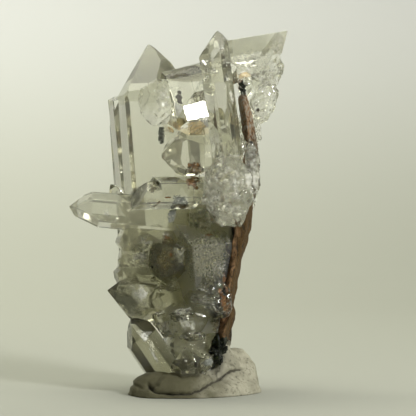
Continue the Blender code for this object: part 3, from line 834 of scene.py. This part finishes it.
def makeClouds(settings):
    for name, (smoke, milk, names, balls) in settings["bodies"].items():
        solids = [quartzCrystal(crystals[n], 0.0, shrink=settings["inset"]) for n in names]
        solids += [ellipsoid(centre, half, i) for i, (centre, half) in enumerate(balls)]
        mesh = combined(solids) if len(solids) > 1 else fromBm(name, solids[0])
        takenUp = [smoke * (1 - clear) + milk * darkening
                   for clear, darkening in zip(smokeColour, settings["milkStain"])]
        addCloud(name, mesh, cloudMaterial(name, takenUp, milk))
    for name, (density, colour, host, ball) in settings["parts"].items():
        inner = quartzCrystal(crystals[host], 0.0, shrink=settings["inset"])
        mesh = combined([ellipsoid(*ball, 5, 0.05), inner], "INTERSECT")
        addCloud(name, mesh, cloudMaterial(name, [density * (1 - c) for c in colour], 0.0))


makeClouds(cloudSettings)
print("smoke and milk made")


# Weathered rock: a strip of rusty plates up the right side, split like bark

rockPlates = (
    ((12.3, -1.3, 60.3), (1.6, 4.6, 9.4), 32, 34, "bark", -11),
    ((12.6, 0.0, 50.0), (1.9, 5.2, 7.6), 33, 28, "bark", 2),
    ((10.4, 2.0, 37.4), (2.3, 8.4, 11.0), 35, 44, "bark", 12, 0.1),
    ((7.5, 1.8, 24.0), (2.3, 8.4, 12.4), 36, 44, "bark", 12, 0.1),
    ((6.2, 0.0, 13.0), (1.7, 6.4, 8.4), 38, 30, "bark", 19),
)
rockSettings = {
    "middle": (5.6, 0.145),  # the strip's middle line: X at the floor, and how far it leans per mm up
    "rust": (0.13, 0.075, 0.026),
    "brown": (0.03, 0.021, 0.01),
    # the colour of the painted highlight along the strip's left edge
    "salmon": (0.38, 0.22, 0.11),
    "black": (0.016, 0.014, 0.013),
    "ash": (0.33, 0.3, 0.24),
    "blackTop": (54.0, 44.0),  # the heights between which the black side sets in
    "ashFoot": (50.0, 58.0),  # and those between which the ash does
    "smoothBelow": 50,
    "relief": 0.7,
}


def rockMaterial(settings):
    material, tree, shader = newMaterial("rusty_rock")
    place = placeIn(tree)
    x, _, z = partsOf(tree, place)
    start, lean = settings["middle"]
    across = mathOf(tree, "SUBTRACT", x, mathOf(tree, "ADD", product(tree, z, lean), start))
    fibres = noiseOf(tree, stretched(tree, place, (1.6, 1.6, 0.22)), 1.0, 6.0, 0.62, 0.4)
    flecks = noiseOf(tree, stretched(tree, place, (1.0, 1.0, 0.6)), 1.9, 5.0, 0.6)
    patches = noiseOf(tree, place, 0.32, 4.0, 0.55)
    wander = product(tree, mathOf(tree, "SUBTRACT", patches, 0.5), 3.0)
    side = mathOf(tree, "ADD", across, wander)
    colour = rampOf(tree, fibres, (
        (0.36, settings["brown"]), (0.5, settings["rust"]), (0.7, settings["brown"])))
    # painted highlight: the strip's left edge is lightened to salmon in flecks, where light catches it
    edge = rangeOf(tree, side, -0.5, -1.3)
    colour = mixColour(tree, product(tree, edge, rangeOf(tree, flecks, 0.36, 0.6, 0.25, 0.9)),
                       colour, settings["salmon"])
    dark = product(tree, rangeOf(tree, side, -1.7, -2.5), rangeOf(tree, z, *settings["blackTop"]))
    colour = mixColour(tree, dark, colour, settings["black"])
    upper = product(tree, rangeOf(tree, z, *settings["ashFoot"]), rangeOf(tree, flecks, 0.47, 0.58))
    colour = mixColour(tree, upper, colour, settings["ash"])
    colour = mixColour(tree, rangeOf(tree, flecks, 0.43, 0.33), colour, settings["black"])
    feed(tree, shader, {"Base Color": colour, "Specular IOR Level": 0.25,
                        "Roughness": rangeOf(tree, fibres, 0.3, 0.7, 0.6, 0.95)})
    height = mathOf(tree, "ADD", fibres, product(tree, flecks, 0.6))
    bumpOf(tree, shader, height, settings["relief"])
    return material


def makeRock(settings):
    solids = [brokenLump(*plate) for plate in rockPlates]
    mesh = tidied(combined(solids))
    piece = inScene("rusty_rock", mesh, rockMaterial(settings), settings["smoothBelow"])
    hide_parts("matrix_crust")
    print("rock:", len(piece.data.polygons), "faces")


makeRock(rockSettings)


# Epidote: bundles of black-green prisms in the rock

epidoteBundles = {  # knot's centre, half sizes, lean and relief, then prisms: seed, count, length, width
    "epidote_lower": (((5.1, -5.0, 9.9), (1.9, 3.2, 3.4), 18, "broken"), (51, 40, 2.6, 0.8)),
    "epidote_upper": (((10.8, -2.6, 69.8), (0.7, 1.2, 1.6), -10, "broken"), (52, 22, 1.2, 0.34)),
}
epidoteSettings = {
    "dark": (0.006, 0.008, 0.005),
    "green": (0.028, 0.036, 0.012),
    "breaks": 26,  # of the knot
    "steep": 0.85,  # how much the prisms stand up or hang down, and how much they scatter
    "scatter": 0.4,
    "lengths": (0.55, 0.9),
    "widths": (0.7, 1.3),
    "sunk": 0.62,  # the share of a prism that is in the knot
    "edgeWear": 0.03,
    "smoothBelow": 25,
    "relief": 0.05,
}


def epidotePrism(base, way, length, width, turn):
    # six long sides and a chisel end
    ahead, aside = turnedFrame(way, turn)
    planes = [(base, -way)]
    for angle, reach in ((0, 0.34), (65, 0.5), (115, 0.5), (180, 0.34), (245, 0.5), (295, 0.5)):
        out = around(ahead, aside, angle)
        planes.append((base + out * width * reach, out))
    for side in (1, -1):
        planes.append((base + way * length, way * 0.8 + aside * 0.6 * side))
    bm = cutBlock(base + way * length / 2, length + width, planes)
    worn = wearEdges(bm, epidoteSettings["edgeWear"])
    markFaces(bm, way, wornFaces=worn)
    return bm


def epidoteBundle(knot, prisms, settings):
    (centre, half, lean, kind), (seed, count, length, width) = knot, prisms
    rng = random.Random(seed)
    solids = [brokenLump(centre, half, seed, settings["breaks"], kind, lean)]
    turned = turnedBy((0, lean, 0))
    for way in evenDirections(count, 0.3, rng):
        touch = Vector([w * h for w, h in zip(way, half)])
        normal = Vector([w / h for w, h in zip(way, half)]).normalized()
        steep = Vector((0, 0, settings["steep"] if way.z > -0.3 else -settings["steep"]))
        heading = (normal * 0.5 + steep + anywhere(rng, settings["scatter"])).normalized()
        long = length * rng.uniform(*settings["lengths"])
        base = Vector(centre) + turned @ (touch * 0.97) - turned @ heading * long * settings["sunk"]
        solids.append(epidotePrism(base, turned @ heading, long, width * rng.uniform(*settings["widths"]),
                                   rng.uniform(0, math.pi)))
    return tidied(combined(solids))


def epidoteMaterial(settings):
    material, tree, shader = newMaterial("epidote")
    place = placeIn(tree)
    grooves = noiseOf(tree, stretched(tree, uvOf(tree, "growth"), (0.5, 14.0, 1.0)), 1.0, 4.0, 0.6)
    zones = noiseOf(tree, place, 0.9, 3.0)
    colour = mixColour(tree, rangeOf(tree, zones, 0.5, 0.68), settings["dark"], settings["green"])
    feed(tree, shader, {"Base Color": colour, "Specular IOR Level": 0.3,
                        "Roughness": rangeOf(tree, zones, 0.35, 0.65, 0.22, 0.42)})
    bumpOf(tree, shader, grooves, settings["relief"])
    return material


def makeEpidote(bundles, settings):
    material = epidoteMaterial(settings)
    for name, (knot, prisms) in bundles.items():
        piece = inScene(name + "_prisms", epidoteBundle(knot, prisms, settings), material,
                        settings["smoothBelow"])
        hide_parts(name)
    print("epidote made")


makeEpidote(epidoteBundles, epidoteSettings)


# Putty: the solid from the frame, with the folds and thumb marks that pressing left in it

puttySettings = {
    "cell": 0.38,
    "swell": (0.3, 5.0),
    "dents": (0.16, 1.7),
    "grain": (0.035, 0.5),
    # folds across the front: points in X and Z, width and depth
    "folds": (
        (((-10.5, 3.0), (-8.9, 1.7), (-5.6, 0.9), (-1.3, 0.9), (1.6, 2.0), (4.8, 3.9), (8.4, 5.3),
          (13.7, 5.8)), 0.34, 1.1),
        (((7.4, 7.0), (9.6, 6.0), (13.6, 7.6)), 0.3, 0.45),
        (((8.6, 10.6), (10.6, 9.0), (12.8, 9.4)), 0.35, 0.4),
        (((-14.4, 2.6), (-11.6, 2.2), (-8.4, 2.9)), 0.35, 0.35),
    ),
    # further lobes: centre, half sizes and turn
    "lobes": (((-2.0, -9.3, 0.2), (8.4, 5.0, 5.9), 10), ((7.0, 0.8, 0.0), (4.8, 7.0, 12.3), 0)),
    # where a thumb has pressed it in: centre, width and depth
    "presses": (((13.4, 2.0, 10.4), 5.0, 2.6),),
    "pale": (0.46, 0.44, 0.33),
    "dull": (0.33, 0.315, 0.23),
    # painted shade: the colour that the putty's left front is darkened to, where it lies in shade under the
    # specimen
    "darkening": (0.104, 0.097, 0.047),
    # the specks' dirt, and also the painted shade in the creases
    "dirtAndCreaseShade": (0.045, 0.04, 0.024),
    "front": (0.4, 6.0),  # creases are full in front and fade out over so many mm towards the back
    "wander": 0.25,
    "still": 0.25,  # lower than this it isn't pressed in, so that it stands flat
    "relief": 0.22,
}


def nearLine(x, z, points):
    # how far a place on the front is from a drawn line
    here, nearest = Vector((x, z)), 1e9
    for a, b in zip(points, points[1:]):
        a, b = Vector(a), Vector(b)
        share = max(0.0, min(1.0, (here - a).dot(b - a) / (b - a).length_squared))
        nearest = min(nearest, (here - a - (b - a) * share).length)
    return nearest


def creaseDepth(here, settings):
    start, fade = settings["front"]
    front = min(1.0, max(0.0, start - here.y / fade))
    z = here.z + settings["wander"] * noise.noise(here)
    return front * sum(deep * math.exp(-(nearLine(here.x, z, points) / wide) ** 2)
                       for points, wide, deep in settings["folds"])


def puttyDepth(here, settings):
    depth = creaseDepth(here, settings)
    for kind in ("swell", "dents", "grain"):
        deep, wide = settings[kind]
        depth += deep * (0.5 + noise.noise(here / wide + Vector((7, 3, 1))))
    for centre, wide, deep in settings["presses"]:
        depth += deep * math.exp(-((here - Vector(centre)).length / wide) ** 2)
    return depth


def puttyMesh(node, settings):
    bm = bmesh.new()
    bm.from_mesh(node.data)
    bm.transform(node.matrix_world)
    bmesh.ops.remove_doubles(bm, verts=bm.verts, dist=1e-6)
    for centre, half, turn in settings["lobes"]:
        shape = Matrix.Translation(Vector(centre) * mm) @ turnedBy((0, 0, turn)).to_4x4()
        shape = shape @ Matrix.Diagonal((*(h * mm for h in half), 1))
        bmesh.ops.create_icosphere(bm, subdivisions=4, radius=1, matrix=shape)
    for vert in bm.verts:
        vert.co.z = max(vert.co.z, 0.0)
    mesh = bpy.data.meshes.new("putty")
    bm.to_mesh(mesh)
    bm.free()
    helper = placed("putty", mesh)
    cells = helper.modifiers.new("Remesh", "REMESH")
    cells.mode = "VOXEL"
    cells.voxel_size = settings["cell"] * mm
    bm = toBm(asEvaluated(helper))
    bpy.data.objects.remove(helper)
    for _ in range(2):
        bmesh.ops.smooth_vert(
            bm, verts=bm.verts, factor=0.5, use_axis_x=True, use_axis_y=True, use_axis_z=True)
    bm.normal_update()
    creases = bm.loops.layers.uv.new("creases")
    for vert in bm.verts:
        deep = creaseDepth(vert.co, settings)
        for loop in vert.link_loops:
            loop[creases].uv = (deep, 0)
    above = [vert for vert in bm.verts if vert.co.z > settings["still"]]
    for vert in above:
        vert.co = vert.co - vert.normal * puttyDepth(vert.co, settings)
    for vert in bm.verts:
        vert.co.z = max(vert.co.z, 0.0)
    return fromBm("putty", bm)


def puttyMaterial(settings):
    material, tree, shader = newMaterial("mounting_putty")
    place = placeIn(tree)
    blotches = noiseOf(tree, place, 0.28, 4.0)
    specks = noiseOf(tree, place, 1.3, 3.0)
    fine = noiseOf(tree, place, 5.0, 4.0, 0.6)
    colour = mixColour(tree, rangeOf(tree, blotches, 0.38, 0.62), settings["dull"], settings["pale"])
    colour = mixColour(tree, rangeOf(tree, specks, 0.55, 0.68, 0.0, 0.5), colour, settings["dirtAndCreaseShade"])
    x, y, _ = partsOf(tree, place)
    wander = product(tree, mathOf(tree, "SUBTRACT", blotches, 0.5), 14.0)
    # painted shade: towards the left and the front the putty is darkened, where the specimen shades it
    paintedShadeLeft = rangeOf(tree, mathOf(tree, "ADD", x, wander), 12.0, -2.0, 0.0, 0.95)
    front = rangeOf(tree, y, -3.0, -9.0)
    colour = mixColour(tree, product(tree, paintedShadeLeft, front), colour, settings["darkening"])
    # painted shade: the creases are darkened by their depth, where shade falls in them
    deep = partsOf(tree, uvOf(tree, "creases"))[0]
    colour = mixColour(tree, rangeOf(tree, deep, 0.4, 0.9, 0.0, 0.85), colour, settings["dirtAndCreaseShade"])
    feed(tree, shader, {"Base Color": colour, "Roughness": rangeOf(tree, fine, 0.3, 0.7, 0.72, 0.92)})
    height = mathOf(tree, "ADD", fine, product(tree, blotches, 2.0))
    bumpOf(tree, shader, height, settings["relief"])
    return material


def makePutty(settings):
    mesh = puttyMesh(frame["nodes"]["putty_base"], settings)
    piece = inScene("putty", mesh, puttyMaterial(settings), 180)
    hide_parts("putty_base")
    print("putty:", len(piece.data.polygons), "faces")


makePutty(puttySettings)


# Studio: a pale floor that bends up into a wall all round, and soft lights

studioSettings = {
    "floorReach": 330.0,
    "bend": 260.0,
    "wallTop": 900.0,
    "turns": 96,
    "paperLow": (0.66, 0.67, 0.585),
    "paperHigh": (0.65, 0.655, 0.655),
    "lowToHigh": (0.0, 170.0),
    # painted shade: axis, two places along it, and how light the paper is at each; the paper is painted
    # darker low down, towards the front and to the sides, where the room's light falls less
    "shades": ((2, 0.0, 170.0, 0.64, 1.01), (0, -260.0, 260.0, 1.04, 0.84), (1, -340.0, -50.0, 0.1, 1.0),
               (0, -460.0, -170.0, 0.4, 1.0)),
}


def makeStudio(settings):
    bm = bmesh.new()
    flat, bend = settings["floorReach"], settings["bend"]
    outline = [(0, 0), (flat * 0.3, 0), (flat * 0.65, 0), (flat, 0)]
    for k in range(1, 13):
        turn = math.radians(7.5 * k)
        outline.append((flat + bend * math.sin(turn), bend * (1 - math.cos(turn))))
    outline.append((flat + bend, settings["wallTop"]))
    verts = [bm.verts.new((x, 0, z)) for x, z in outline]
    edges = [bm.edges.new(pair) for pair in zip(verts, verts[1:])]
    bmesh.ops.spin(bm, geom=verts + edges, cent=(0, 0, 0), axis=(0, 0, 1),
                   angle=math.radians(360), steps=settings["turns"], use_merge=True)
    bmesh.ops.remove_doubles(bm, verts=bm.verts, dist=0.01)
    bmesh.ops.recalc_face_normals(bm, faces=bm.faces)
    middle = min(bm.faces, key=lambda f: f.calc_center_median().length)
    if middle.normal.z < 0:
        bmesh.ops.reverse_faces(bm, faces=bm.faces)
    material, tree, shader = newMaterial("studio_paper")
    place, shade = partsOf(tree, placeIn(tree)), 1.0
    # painted shade: the paper's colour is darkened by place
    for axis, *span in settings["shades"]:
        shade = product(tree, shade, rangeOf(tree, place[axis], *span))
    paper = mixColour(tree, rangeOf(tree, place[2], *settings["lowToHigh"]), settings["paperLow"],
                      settings["paperHigh"])
    feed(tree, shader, {"Base Color": mixColour(tree, shade, (0, 0, 0), paper), "Roughness": 0.95,
                        "Specular IOR Level": 0.1})
    mesh = fromBm("studio_floor", bm)
    mesh.materials.append(material)
    mesh.shade_smooth()
    floor = placed("studio_floor", mesh)


def softLight(name, place, target, size, power, spread, colour=(1, 1, 1)):
    lamp = bpy.data.lights.new(name, "AREA")
    lamp.shape = "RECTANGLE"
    lamp.size, lamp.size_y = (s * mm for s in size)
    lamp.energy = power
    lamp.color = colour
    lamp.spread = math.radians(spread)
    holder = placed(name, lamp)
    holder.location = Vector(place) * mm
    holder.rotation_mode = "QUATERNION"
    holder.rotation_quaternion = (Vector(target) - Vector(place)).to_track_quat("-Z", "Y")


makeStudio(studioSettings)
lampColour = (1, 1, 0.87)
softLight("overhead_softbox", (-40, 120, 760), (0, 0, 40), (640, 640), 3.4, 150.0, lampColour)
softLight("wall_light", (-240, 200, 640), (-120, 600, 220), (260, 260), 1.5, 140.0, lampColour)
softLight("window_softbox", (335, -398, 284), (0, -8, 65), (110, 110), 1.0, 120.0)
softLight("side_card", (420, -60, 110), (0, 0, 50), (60, 260), 0.17, 140.0, lampColour)

scene = bpy.context.scene
world = bpy.data.worlds.new("studio_air")
scene.world = world
world.use_nodes = True
air = world.node_tree.nodes["Background"].inputs
air["Color"].default_value = (0.8, 0.8, 0.66, 1)
air["Strength"].default_value = 0.1
scene.view_settings.view_transform = "Standard"
pathSettings = {
    "use_denoising": True,
    "max_bounces": 32,
    "transmission_bounces": 28,
    "glossy_bounces": 10,
    "diffuse_bounces": 3,
    "volume_bounces": 8,
    "transparent_max_bounces": 48,
    "sample_clamp_indirect": 12.0,
}
for name, value in pathSettings.items():
    setattr(scene.cycles, name, value)
print("studio made")
